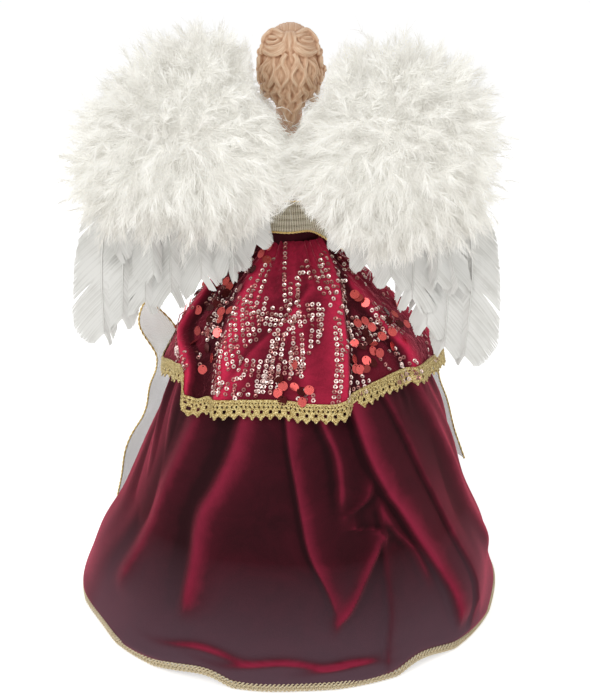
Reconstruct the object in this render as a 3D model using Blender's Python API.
"""A dressed angel figurine for a table or a tree top: resin head and hands, velvet and sequin
dress over a rigid cone, a sheer ribbon and two bendable feather wings.

It stands on Z = 0 with the middle of its base at the origin and faces -Y, so its left is +X.
"""
import math

import bmesh
import bpy
from mathutils import Vector

MM = 0.001
GAP = 0.3 * MM
FIT = 0.8 * MM

# Overall sizes.
WAIST_HEIGHT = 262 * MM
HEM_RADIUS = 150.5 * MM
TORSO_LENGTH = 55 * MM
HEAD_LENGTH = 82.4 * MM
WING_REACH = 116 * MM

# Body.
WAIST_RADIUS = 19 * MM
CHEST_HALF_WIDTH = 30 * MM
CHEST_HALF_DEPTH = 15 * MM
HEAD_HALF_WIDTH = 22.5 * MM
HEAD_HALF_DEPTH = 23.5 * MM
CONE_INSET = 13 * MM
CONE_WALL = 1.6 * MM
RING_WIDTH = 18 * MM
RING_HEIGHT = 3 * MM

# Cloth and trim.
LINING = 0.8 * MM
VELVET = 2.0 * MM
BODICE = 1.2 * MM
SEQUINED = 1.5 * MM
SKIRT_DROP = 10.5 * MM
PEPLUM_LENGTH = 84 * MM
LACE_WIDTH = 13.7 * MM
LACE = 1.2 * MM
BRAID_WIDTH = 6 * MM
BRAID = 1.4 * MM
RIBBON_WIDTH = 38 * MM
RIBBON = 1.0 * MM
SASH_WIDTH = 21 * MM
COLLAR_HEIGHT = 5 * MM
CUFF_LENGTH = 8 * MM

# Arms, which turn on a wire that lies along X through the shoulders.
ARM_WIRE = 1.5 * MM
BORE_CLEARANCE = 0.4 * MM
SHOULDER_DROP = 9 * MM
SLEEVE_WALL = 2.0 * MM
FOREARM = 56 * MM

# Wings, which turn about upright wires held in clips behind the torso.
WING_WIRE = 1.1 * MM
CLIP_WALL = 1.7 * MM
CLIP_SPACING = 34 * MM
PLATE_WIDTH = 44 * MM
PLATE_HEIGHT = 30 * MM
PLATE_THICKNESS = 3 * MM
PLATE_DROP = 25 * MM
WING_SWEEP = math.radians(11)
CARD = 1.2 * MM
FEATHER = 1.0 * MM
FEATHER_STEP = 1.5 * MM
FRONT_DOWN = 9 * MM
BACK_DOWN = 24 * MM
LEFT_WING_LIFT = 11 * MM

SHOULDER_Z = WAIST_HEIGHT + TORSO_LENGTH
SKIRT_TOP = WAIST_HEIGHT - SKIRT_DROP
CONE_TOP = SKIRT_TOP - 7.5 * MM
PEPLUM_BOTTOM = WAIST_HEIGHT - PEPLUM_LENGTH
ROUND = 36


def clear_scene():
    for item in list(bpy.data.objects):
        bpy.data.objects.remove(item, do_unlink=True)


def paint(name, colour, roughness, metallic=0.0):
    """A plain Principled material."""
    surface = bpy.data.materials.new(name)
    surface.use_nodes = True
    shader = surface.node_tree.nodes["Principled BSDF"]
    shader.inputs["Base Color"].default_value = (*colour, 1.0)
    shader.inputs["Roughness"].default_value = roughness
    shader.inputs["Metallic"].default_value = metallic
    return surface


def add_object(name, mesh_data, surface, pivot=None):
    """Closes up a bmesh whose points are in the world, and hangs it on its pivot empty."""
    bmesh.ops.recalc_face_normals(mesh_data, faces=mesh_data.faces)
    if pivot is not None:
        bmesh.ops.translate(mesh_data, verts=mesh_data.verts, vec=-pivot.location)
    mesh = bpy.data.meshes.new(name)
    mesh_data.to_mesh(mesh)
    mesh_data.free()
    mesh.shade_smooth()
    mesh.set_sharp_from_angle(angle=math.radians(40))
    mesh.materials.append(surface)
    item = bpy.data.objects.new(name, mesh)
    bpy.context.collection.objects.link(item)
    if pivot is not None:
        item.parent = pivot
    return item


def add_pivot(name, place):
    """An empty on a joint's axis."""
    pivot = bpy.data.objects.new(name, None)
    pivot.location = place
    bpy.context.collection.objects.link(pivot)
    return pivot


def bridge(mesh_data, first, second):
    """Quads between two rings of the same number of points."""
    count = len(first)
    for i in range(count):
        j = (i + 1) % count
        mesh_data.faces.new((first[i], first[j], second[j], second[i]))


def rings_to_mesh(rings, closed=False):
    """A skin through rings of points, capped at both ends or joined end to end."""
    mesh_data = bmesh.new()
    loops = [[mesh_data.verts.new(point) for point in ring] for ring in rings]
    for first, second in zip(loops, loops[1:]):
        bridge(mesh_data, first, second)
    if closed:
        bridge(mesh_data, loops[-1], loops[0])
    else:
        mesh_data.faces.new(loops[0])
        mesh_data.faces.new(loops[-1])
    return mesh_data


def strip_mesh(rings):
    """A thin twisting strip from rings of four, both broad sides split along one diagonal."""
    mesh_data = bmesh.new()
    loops = [[mesh_data.verts.new(point) for point in ring] for ring in rings]
    for (a, b, c, d), (e, f, g, h) in zip(loops, loops[1:]):
        for corners in ((a, b, f), (a, f, e), (d, g, c), (d, h, g),
                        (b, c, g), (b, g, f), (a, h, d), (a, e, h)):
            mesh_data.faces.new(corners)
    mesh_data.faces.new(loops[0])
    mesh_data.faces.new(loops[-1])
    return mesh_data


def ellipse(centre, half_x, half_y, segments=ROUND):
    """A level ring of points."""
    ring = []
    for i in range(segments):
        angle = 2 * math.pi * i / segments
        ring.append(centre + Vector((half_x * math.cos(angle), half_y * math.sin(angle), 0)))
    return ring


def turned_shell(outer, inner, segments=ROUND):
    """A wall between two lists of (height, half_x, half_y), both from bottom to top."""
    rings = [ellipse(Vector((0, 0, z)), rx, ry, segments) for z, rx, ry in outer]
    rings += [ellipse(Vector((0, 0, z)), rx, ry, segments) for z, rx, ry in reversed(inner)]
    return rings_to_mesh(rings, closed=True)


def along(points, share):
    """Straight-line reading of a list of (share, value)."""
    for (a, first), (b, second) in zip(points, points[1:]):
        if share <= b:
            return first + (second - first) * (share - a) / (b - a)
    return points[-1][1]


def smooth_path(points, steps, closed=False):
    """A Catmull-Rom curve through a few points of any dimension."""
    points = [Vector(point) for point in points]
    if closed:
        guide = [points[-1]] + points + points[:2]
    else:
        guide = [points[0] * 2 - points[1]] + points + [points[-1] * 2 - points[-2]]
    path = []
    for a, b, c, d in zip(guide, guide[1:], guide[2:], guide[3:]):
        for i in range(steps):
            t = i / steps
            path.append(0.5 * (2 * b + (c - a) * t + (2 * a - 5 * b + 4 * c - d) * t ** 2
                               + (3 * b - a - 3 * c + d) * t ** 3))
    if not closed:
        path.append(points[-1])
    return path


def tube_rings(path, radii, sides, closed=False):
    """Rings of points square to a path, one radius for each of its points."""
    rings = []
    count = len(path)
    side = None
    for i, point in enumerate(path):
        before = path[i - 1] if closed or i > 0 else point
        after = path[(i + 1) % count] if closed or i < count - 1 else point
        tangent = (after - before).normalized()
        if side is None:
            side = tangent.orthogonal().normalized()
        side = (side - tangent * side.dot(tangent)).normalized()
        other = tangent.cross(side)
        ring = []
        for k in range(sides):
            angle = 2 * math.pi * k / sides
            ring.append(point + (side * math.cos(angle) + other * math.sin(angle)) * radii[i])
        rings.append(ring)
    return rings


# --- Dress, cone and base -----------------------------------------------------------------

# How the skirt widens: share of its height, then share of the way from waist to hem.
SKIRT_LINE = [(0.0, 1.0), (0.3, 0.785), (0.59, 0.565), (0.72, 0.44), (0.8, 0.34),
              (0.885, 0.212), (0.955, 0.095), (1.0, 0.0)]
SKIRT_TOP_RADIUS = WAIST_RADIUS + LINING + VELVET + 2 * GAP


def skirt_radius(z):
    """Outer radius of the velvet skirt at a height."""
    share = along(SKIRT_LINE, z / SKIRT_TOP)
    return SKIRT_TOP_RADIUS + (HEM_RADIUS - SKIRT_TOP_RADIUS) * share


def skirt_wall(depth, wall, bottom):
    """A turned wall inside the skirt's outer surface, at a depth under it."""
    heights = [bottom] + [share * SKIRT_TOP for share, _ in SKIRT_LINE[1:]]
    outer = [(z, skirt_radius(z) - depth, skirt_radius(z) - depth) for z in heights]
    inner = [(z, rx - wall, ry - wall) for z, rx, ry in outer]
    return turned_shell(outer, inner)


def build_base(board, card_stock):
    """The flat ring that the angel stands on, and the rigid cone over it."""
    outer = HEM_RADIUS - CONE_INSET
    inner = outer - RING_WIDTH
    ring = turned_shell([(0, outer, outer), (RING_HEIGHT, outer, outer)],
                        [(0, inner, inner), (RING_HEIGHT, inner, inner)])
    add_object("base_ring", ring, board)
    foot = RING_HEIGHT + GAP
    top = WAIST_RADIUS + 3 * MM
    rings = [ellipse(Vector((0, 0, foot)), outer - CONE_WALL, outer - CONE_WALL),
             ellipse(Vector((0, 0, foot)), outer, outer),
             ellipse(Vector((0, 0, CONE_TOP)), top, top)]
    cone = rings_to_mesh(rings, closed=False)
    # The last two faces are the caps: the lower one opens into the hollow.
    cone.faces.ensure_lookup_table()
    bmesh.ops.delete(cone, geom=[cone.faces[-2]], context="FACES_ONLY")
    rim = cone.verts[:ROUND]
    roof = [cone.verts.new(point) for point in
            ellipse(Vector((0, 0, CONE_TOP - CONE_WALL)), top - CONE_WALL, top - CONE_WALL)]
    bridge(cone, rim, roof)
    cone.faces.new(roof)
    add_object("cone_body", cone, card_stock)


def build_skirt(velvet, lining, braid):
    """Velvet skirt, its stiff lining and the braid under its hem."""
    add_object("velvet_skirt", skirt_wall(0, VELVET, 4 * MM), velvet)
    add_object("skirt_lining", skirt_wall(VELVET + GAP, LINING, 9 * MM), lining)
    low = 0.8 * MM
    high = 4 * MM - GAP
    outer = HEM_RADIUS + GAP
    inner = outer - BRAID_WIDTH
    ring = turned_shell([(low, outer - BRAID, outer - BRAID), (high, outer, outer)],
                        [(low, inner, inner), (high, inner, inner)])
    add_object("hem_braid", ring, braid)


def peplum_radius(z):
    """Inner radius of the sequined overskirt, which lies a little off the skirt."""
    top = WAIST_RADIUS + BODICE + FIT + GAP
    if z > SKIRT_TOP:
        share = (WAIST_HEIGHT - z) / (WAIST_HEIGHT - SKIRT_TOP)
        return top + (SKIRT_TOP_RADIUS + 5 * MM - top) * share
    share = (SKIRT_TOP - z) / (SKIRT_TOP - PEPLUM_BOTTOM)
    return skirt_radius(z) + (5 + 6 * share) * MM


def build_peplum(sequined, lace):
    """Sequined overskirt with gold lace along its edge."""
    steps = 6
    heights = [PEPLUM_BOTTOM + PEPLUM_LENGTH * i / steps for i in range(steps + 1)]
    inner = [(z, peplum_radius(z), peplum_radius(z)) for z in heights]
    outer = [(z, rx + SEQUINED, ry + SEQUINED) for z, rx, ry in inner]
    add_object("sequin_peplum", turned_shell(outer, inner), sequined)
    top = PEPLUM_BOTTOM - GAP
    edge = inner[0][1]
    flare = 5.5 * MM
    inner = [(top - LACE_WIDTH, edge + flare, edge + flare), (top, edge, edge)]
    outer = [(z, rx + LACE, ry + LACE) for z, rx, ry in inner]
    add_object("peplum_lace", turned_shell(outer, inner), lace)


# --- Torso and head -----------------------------------------------------------------------

# Torso sections: share of the torso's length above the waist, then shares from waist to chest.
TORSO_LINE = [(0.0, 0.0), (0.45, 0.5), (0.75, 0.95), (0.87, 1.0), (0.95, 0.85), (1.0, 0.35)]


def torso_size(z):
    """Half width and half depth of the foam torso at a height."""
    share = along(TORSO_LINE, max(z - WAIST_HEIGHT, 0) / TORSO_LENGTH)
    half_x = WAIST_RADIUS + (CHEST_HALF_WIDTH - WAIST_RADIUS) * share
    half_y = WAIST_RADIUS + (CHEST_HALF_DEPTH - WAIST_RADIUS) * share
    return half_x, half_y


def drill(item, start, end, radius):
    """Bores a round hole through an object with a hidden cutter."""
    cutter = rings_to_mesh(tube_rings([start, end], [radius, radius], 16))
    tool = add_object(item.name + "_drill", cutter, item.data.materials[0])
    tool.hide_render = True
    tool.display_type = "WIRE"
    cut = item.modifiers.new("bore", "BOOLEAN")
    cut.operation = "DIFFERENCE"
    cut.solver = "EXACT"
    cut.object = tool


def build_torso(foam, velvet, lace):
    """Foam torso, the bodice around it and the lace collar at the neck."""
    heights = [CONE_TOP + GAP, WAIST_HEIGHT]
    heights += [WAIST_HEIGHT + TORSO_LENGTH * share for share, _ in TORSO_LINE[1:]]
    rings = []
    for z in heights:
        half_x, half_y = torso_size(z)
        rings.append(ellipse(Vector((0, 0, z)), half_x, half_y, 28))
    core = add_object("torso_core", rings_to_mesh(rings), foam)

    shell = FIT + BODICE
    heights[0] = SKIRT_TOP + 1.5 * MM
    heights[-1] -= 1 * MM
    inner = []
    outer = []
    for z in heights:
        half_x, half_y = torso_size(z)
        inner.append((z, half_x + FIT, half_y + FIT))
        outer.append((z, half_x + shell, half_y + shell))
    bodice = add_object("velvet_bodice", turned_shell(outer, inner, 28), velvet)
    bore = ARM_WIRE + BORE_CLEARANCE
    reach = Vector((CHEST_HALF_WIDTH + 10 * MM, 0, 0))
    height = Vector((0, 0, SHOULDER_Z - SHOULDER_DROP))
    drill(core, height - reach, height + reach, bore)
    drill(bodice, height - reach, height + reach, bore)

    half_x, half_y = bust_size()
    low = SHOULDER_Z + GAP
    inner = [(low, half_x + GAP, half_y + GAP), (low + COLLAR_HEIGHT, half_x + GAP, half_y + GAP)]
    outer = [(z, rx + LACE, ry + LACE) for z, rx, ry in inner]
    add_object("lace_collar", turned_shell(outer, inner, 28), lace)


def bust_size():
    """Half width and half depth of the resin bust where it sits on the torso."""
    return 0.75 * CHEST_HALF_WIDTH, 0.85 * CHEST_HALF_DEPTH


def build_head(resin):
    """Head, hair, neck and bust as one casting."""
    bust_x, bust_y = bust_size()
    # Share of the height, then half width, half depth and how far the middle lies to the back.
    neck_x = 0.43 * HEAD_HALF_WIDTH
    neck_y = 0.43 * HEAD_HALF_DEPTH
    sections = [(0.0, bust_x, bust_y, 0), (0.09, bust_x * 0.95, bust_y * 0.95, 0),
                (0.17, bust_x * 0.65, bust_y * 0.85, 0), (0.235, neck_x, neck_y, 1),
                (0.28, neck_x, neck_y * 1.5, 5), (0.36, neck_x * 1.4, neck_y * 2.1, 6),
                (0.44, 0.86 * HEAD_HALF_WIDTH, 0.95 * HEAD_HALF_DEPTH, 5),
                (0.53, 0.97 * HEAD_HALF_WIDTH, HEAD_HALF_DEPTH, 4.5),
                (0.64, HEAD_HALF_WIDTH, HEAD_HALF_DEPTH, 4), (0.76, 0.95 * HEAD_HALF_WIDTH,
                 0.97 * HEAD_HALF_DEPTH, 3.5), (0.87, 0.78 * HEAD_HALF_WIDTH,
                 0.8 * HEAD_HALF_DEPTH, 3), (0.945, 0.53 * HEAD_HALF_WIDTH,
                 0.55 * HEAD_HALF_DEPTH, 2.5), (0.985, 0.28 * HEAD_HALF_WIDTH,
                 0.28 * HEAD_HALF_DEPTH, 2), (1.0, 0.09 * HEAD_HALF_WIDTH,
                 0.09 * HEAD_HALF_DEPTH, 2)]
    rings = []
    for share, half_x, half_y, back in sections:
        centre = Vector((0, back * MM, SHOULDER_Z + GAP + HEAD_LENGTH * share))
        rings.append(ellipse(centre, half_x, half_y, 24))
    add_object("resin_head", rings_to_mesh(rings), resin)


# --- Arms ---------------------------------------------------------------------------------

def build_arm(word, side, wire_metal, velvet, lace, resin):
    """Bent wire, hollow sleeve, lace cuff and resin hand, all turning about the shoulder."""
    height = SHOULDER_Z - SHOULDER_DROP
    pivot = add_pivot(word + "_shoulder", Vector((0, 0, height)))
    body_side = CHEST_HALF_WIDTH + FIT + BODICE

    def place(out, forward, drop):
        return Vector((side * (body_side + out), -forward, height - drop))

    elbow_out = 33 * MM
    elbow_drop = 24 * MM
    wrist = place(elbow_out - 7 * MM, FOREARM, elbow_drop - 5 * MM)
    path = smooth_path([place(-9 * MM, 0, 0), place(2 * MM, 0, 0), place(7 * MM, 0, 0),
                        place(21 * MM, 2 * MM, 7 * MM),
                        place(elbow_out, 9 * MM, elbow_drop),
                        place(elbow_out - 1 * MM, 0.55 * FOREARM, elbow_drop), wrist], 3)
    wire = rings_to_mesh(tube_rings(path, [ARM_WIRE] * len(path), 8))
    add_object(word + "_arm_wire", wire, wire_metal, pivot)

    route = smooth_path([place(1 * MM, 0, 0), place(8 * MM, 0.3 * MM, 1 * MM),
                         place(21 * MM, 2 * MM, 7 * MM), place(elbow_out, 9 * MM, elbow_drop),
                         place(elbow_out - 1 * MM, 0.55 * FOREARM, elbow_drop), wrist], 2)
    last = len(route) - 1
    bore = ARM_WIRE + 1.2 * MM
    mouth = 15 * MM
    inside = []
    outside = []
    for i in range(last + 1):
        share = i / last
        room = bore + (mouth - SLEEVE_WALL - bore) * max(0, (share - 0.6) / 0.4) ** 1.5
        inside.append(room)
        outside.append(max(9 * MM + 2.5 * MM * math.sin(math.pi * min(share / 0.8, 1)),
                           room + SLEEVE_WALL))
    outside_rings = tube_rings(route, outside, 12)
    inside_rings = tube_rings(route, inside, 12)
    sleeve = rings_to_mesh(outside_rings + inside_rings[::-1], closed=True)
    add_object(word + "_sleeve", sleeve, velvet, pivot)

    aim = (route[last] - route[last - 1]).normalized()
    edge = outside[last] + GAP
    ends = [wrist - aim * CUFF_LENGTH * 0.5, wrist + aim * CUFF_LENGTH * 0.5]
    wide = tube_rings(ends, [edge + LACE, edge + LACE], 20)
    near = tube_rings(ends, [edge, edge], 20)
    add_object(word + "_cuff", rings_to_mesh(wide + near[::-1], closed=True), lace, pivot)

    # An open palm: thick at the wrist, broad and flat towards the fingers.
    rings = []
    for along_hand, half_wide, half_thick in ((1, 3.5, 3.5), (6, 3.6, 3.2), (12, 6, 3),
                                              (18, 6.6, 2.6), (25, 5, 2), (30, 2, 1.2)):
        centre = wrist + aim * along_hand * MM
        across = aim.cross(Vector((0, 0, 1))).normalized()
        lift = across.cross(aim)
        ring = []
        for k in range(12):
            angle = 2 * math.pi * k / 12
            ring.append(centre + across * half_wide * MM * math.cos(angle)
                        + lift * half_thick * MM * math.sin(angle))
        rings.append(ring)
    add_object(word + "_hand", rings_to_mesh(rings), resin, pivot)


# --- Wings --------------------------------------------------------------------------------

HINGE_X = CLIP_SPACING / 2
PLATE_FRONT = max(torso_size(SHOULDER_Z - PLATE_DROP)[1], torso_size(SHOULDER_Z)[1]) \
    + GAP + FIT + BODICE
CLIP_BORE = WING_WIRE + BORE_CLEARANCE
HINGE_Y = PLATE_FRONT + PLATE_THICKNESS + CLIP_BORE + 0.3 * CLIP_WALL
PLATE_Z = SHOULDER_Z - PLATE_DROP


def wing_place(side, out, z, back):
    """A point of a wing: outwards from its hinge, at a height, and behind its own plane."""
    x = HINGE_X + out * math.cos(WING_SWEEP) - back * math.sin(WING_SWEEP)
    y = HINGE_Y + out * math.sin(WING_SWEEP) + back * math.cos(WING_SWEEP)
    return Vector((side * x, y, z))


def build_wing_mount(plastic):
    """The plate behind the shoulders with an open clip for each wing's wire."""
    half = PLATE_WIDTH / 2
    back = PLATE_FRONT + PLATE_THICKNESS
    opening = math.radians(40)
    outline = [(-half, PLATE_FRONT), (half, PLATE_FRONT), (half, back)]
    for centre in (HINGE_X, -HINGE_X):
        # Around the outside of the clip to its opening, back inside it, and on.
        outer = CLIP_BORE + CLIP_WALL
        foot = math.asin((HINGE_Y - back) / outer)
        first = -foot
        last = math.pi / 2 - opening
        for i in range(5):
            angle = first + (last - first) * i / 4
            outline.append((centre + outer * math.cos(angle), HINGE_Y + outer * math.sin(angle)))
        turn = 2 * math.pi - 2 * opening
        for i in range(13):
            angle = last - turn * i / 12
            outline.append((centre + CLIP_BORE * math.cos(angle),
                            HINGE_Y + CLIP_BORE * math.sin(angle)))
        for i in range(5):
            angle = math.pi / 2 + opening + (last - first) * i / 4
            outline.append((centre + outer * math.cos(angle), HINGE_Y + outer * math.sin(angle)))
    outline.append((-half, back))
    rings = [[Vector((x, y, z)) for x, y in outline] for z in (PLATE_Z, PLATE_Z + PLATE_HEIGHT)]
    add_object("wing_mount", rings_to_mesh(rings), plastic)


def wing_slab(side, outline, front, back):
    """A flat piece of a wing between two distances behind its plane."""
    return rings_to_mesh([[wing_place(side, out, z, depth) for out, z in outline]
                          for depth in (front, back)])


def wing_pad(side, outline, flat, full):
    """A domed pad of down: its flat side lies at one distance and its crown at another."""
    middle = sum((Vector(point) for point in outline), Vector((0, 0))) / len(outline)
    rings = []
    for depth, size in ((0.0, 0.94), (0.3, 1.0), (0.65, 0.92), (0.88, 0.75), (1.0, 0.5)):
        reach = flat + (full - flat) * depth
        ring = []
        for point in outline:
            out, z = middle + (Vector(point) - middle) * size
            ring.append(wing_place(side, out, z, reach))
        rings.append(ring)
    return rings_to_mesh(rings)


def feather_outline(root, tip, width):
    """A long feather's outline, narrow at its root and broad near a round tip."""
    root = Vector(root)
    tip = Vector(tip)
    run = (tip - root).normalized()
    across = Vector((-run.y, run.x))
    length = (tip - root).length
    shape = ((0, 0.25), (0.25, 0.8), (0.6, 1.0), (0.85, 0.85), (0.96, 0.5))
    left = [root + run * length * s + across * width / 2 * w for s, w in shape]
    right = [root + run * length * s - across * width / 2 * w for s, w in shape]
    return left + [tip] + right[::-1]


def build_wing(word, side, lift, wire_metal, card_stock, quill, down):
    """Wire loop, card, six long feathers and two pads of down, turning about the root wire."""
    base = SHOULDER_Z
    reach = WING_REACH
    pivot = add_pivot(word + "_wing_hinge", Vector((side * HINGE_X, HINGE_Y, PLATE_Z)))

    def points(shape):
        return [(out * reach, base + z * MM + lift * max(out, 0)) for out, z in shape]

    low = PLATE_Z - base - 1 * MM
    high = low + PLATE_HEIGHT + 2 * MM
    root = [(0, base + low + (high - low) * i / 4) for i in range(5)]
    loop = points([(0.33, 34), (0.57, 42), (0.75, 33), (0.85, 8), (0.79, -13), (0.57, -26),
                   (0.3, -28)])
    around = [root[-1]] + loop + [root[0]]
    route = root[1:-1] + smooth_path(around, 3)
    frame_path = [wing_place(side, out, z, 0) for out, z in route]
    frame = rings_to_mesh(tube_rings(frame_path, [WING_WIRE] * len(frame_path), 6, True), True)
    add_object(word + "_wing_wire", frame, wire_metal, pivot)

    outline = smooth_path(points([(0.1, 6), (0.3, 38), (0.57, 48), (0.79, 37), (0.91, 8),
                                  (0.84, -19), (0.6, -32), (0.25, -24)]), 3, True)
    front = -WING_WIRE - GAP - CARD
    add_object(word + "_wing_card", wing_slab(side, outline, front, front + CARD),
               card_stock, pivot)

    outline = smooth_path(points([(0.24, 10), (0.28, 50), (0.45, 66), (0.7, 66), (0.95, 50),
                                  (1.05, 8), (1.0, -24), (0.75, -30), (0.4, -22)]), 3, True)
    add_object(word + "_wing_down_front",
               wing_pad(side, outline, front - GAP, front - GAP - FRONT_DOWN), down, pivot)

    depth = WING_WIRE + GAP
    feathers = [((0.74, 20), (0.99, -121), 30), ((0.64, 18), (0.83, -116), 28),
                ((0.54, 14), (0.69, -103), 27), ((0.44, 10), (0.55, -91), 26),
                ((0.33, 6), (0.38, -81), 24), ((0.22, 0), (0.2, -67), 22)]
    for number, (start, end, width) in enumerate(feathers, 1):
        outline = feather_outline(points([start])[0], points([end])[0], width * MM)
        slab = wing_slab(side, outline, depth, depth + FEATHER)
        add_object(f"{word}_wing_feather_{number}", slab, quill, pivot)
        depth += FEATHER_STEP

    outline = smooth_path(points([(-0.05, 4), (0.0, 28), (0.16, 58), (0.36, 76), (0.62, 72),
                                  (0.9, 52), (1.03, 12), (1.0, -26), (0.78, -38), (0.5, -44),
                                  (0.22, -40), (0.02, -26)]), 3, True)
    add_object(word + "_wing_down_back",
               wing_pad(side, outline, depth + GAP, depth + GAP + BACK_DOWN), down, pivot)


# --- Ribbon -------------------------------------------------------------------------------

def build_ribbon(organza):
    """One wired ribbon: gathered across the small of the back, its tails hanging at the sides."""
    behind = torso_size(WAIST_HEIGHT + 17 * MM)[1] + BODICE + FIT + 3 * MM
    band = WAIST_HEIGHT + 17 * MM

    def tail(side, turns):
        """Stations down one side: height, degrees to the front, distance off the skirt."""
        stations = []
        for z, degrees, off in turns:
            radius = skirt_radius(z) + off * MM
            angle = math.radians(degrees)
            centre = Vector((side * radius * math.cos(angle), -radius * math.sin(angle), z))
            across = Vector((-side * math.sin(angle), -math.cos(angle), 0))
            stations.append((centre, across, RIBBON_WIDTH))
        return stations

    def shoulder(side):
        """Stations from the back out to the side, where the ribbon turns down."""
        out = skirt_radius(PEPLUM_BOTTOM)
        return [(Vector((side * 0.5 * out, behind - 1 * MM, band - 8 * MM)),
                 Vector((0, 0, 1)), 0.75 * RIBBON_WIDTH),
                (Vector((side * 0.85 * out, behind - 9 * MM, band - 21 * MM)),
                 Vector((0, -0.25, 1)), 0.9 * RIBBON_WIDTH),
                (Vector((side * 1.16 * out, -6 * MM, band - 46 * MM)),
                 Vector((0, -0.75, 0.65)), 0.95 * RIBBON_WIDTH),
                (Vector((side * 1.27 * out, -19 * MM, band - 76 * MM)),
                 Vector((0, -1, 0.2)), RIBBON_WIDTH)]

    low = PEPLUM_BOTTOM - LACE_WIDTH
    left = [(low + 4 * MM, 20, 17), (low - 26 * MM, 25, 10),
            (low - 55 * MM, 25, 8), (low - 85 * MM, 24, 9), (low - 112 * MM, 26, 8),
            (low - 140 * MM, 30, 7)]
    right = [(low + 4 * MM, 22, 17), (low - 30 * MM, 27, 10), (low - 62 * MM, 27, 9),
             (low - 92 * MM, 25, 11)]
    stations = tail(1, left)[::-1] + shoulder(1)[::-1]
    stations += [(Vector((0.25 * x, behind, band)), Vector((0, 0, 1)), SASH_WIDTH)
                 for x in (70 * MM, 0, -70 * MM)]
    stations += shoulder(-1) + tail(-1, right)

    centres = smooth_path([station[0] for station in stations], 3)
    acrosses = smooth_path([station[1].normalized() for station in stations], 3)
    widths = smooth_path([(station[2], 0) for station in stations], 3)
    rings = []
    for i, centre in enumerate(centres):
        before = centres[max(i - 1, 0)]
        after = centres[min(i + 1, len(centres) - 1)]
        run = (after - before).normalized()
        across = (acrosses[i] - run * run.dot(acrosses[i])).normalized()
        thick = run.cross(across) * RIBBON / 2
        wide = across * widths[i].x / 2
        rings.append([centre + wide + thick, centre - wide + thick,
                      centre - wide - thick, centre + wide - thick])
    add_object("ribbon_stole", strip_mesh(rings), organza)


def build():
    clear_scene()
    velvet = paint("burgundy_velvet", (0.16, 0.008, 0.03), 0.8)
    sequined = paint("sequined_velvet", (0.35, 0.02, 0.07), 0.4)
    lining = paint("white_lining", (0.8, 0.78, 0.74), 0.8)
    lace = paint("gold_lace", (0.75, 0.52, 0.15), 0.35, 0.8)
    braid = paint("cream_braid", (0.8, 0.68, 0.42), 0.6)
    organza = paint("sheer_ribbon", (0.82, 0.78, 0.6), 0.5)
    resin = paint("painted_resin", (0.72, 0.42, 0.26), 0.5)
    foam = paint("foam", (0.85, 0.85, 0.82), 0.9)
    board = paint("hardboard", (0.35, 0.25, 0.16), 0.8)
    card_stock = paint("white_card", (0.8, 0.8, 0.78), 0.8)
    plastic = paint("white_plastic", (0.85, 0.85, 0.85), 0.4)
    wire_metal = paint("steel_wire", (0.5, 0.5, 0.5), 0.35, 1.0)
    quill = paint("white_feather", (0.9, 0.89, 0.86), 0.7)
    down = paint("white_down", (0.93, 0.92, 0.9), 0.9)

    build_base(board, card_stock)
    build_skirt(velvet, lining, braid)
    build_peplum(sequined, lace)
    build_torso(foam, velvet, lace)
    build_head(resin)
    build_wing_mount(plastic)
    for word, side, lift in (("left", 1, LEFT_WING_LIFT), ("right", -1, 0)):
        build_arm(word, side, wire_metal, velvet, lace, resin)
        build_wing(word, side, lift, wire_metal, card_stock, quill, down)
    build_ribbon(organza)


build()
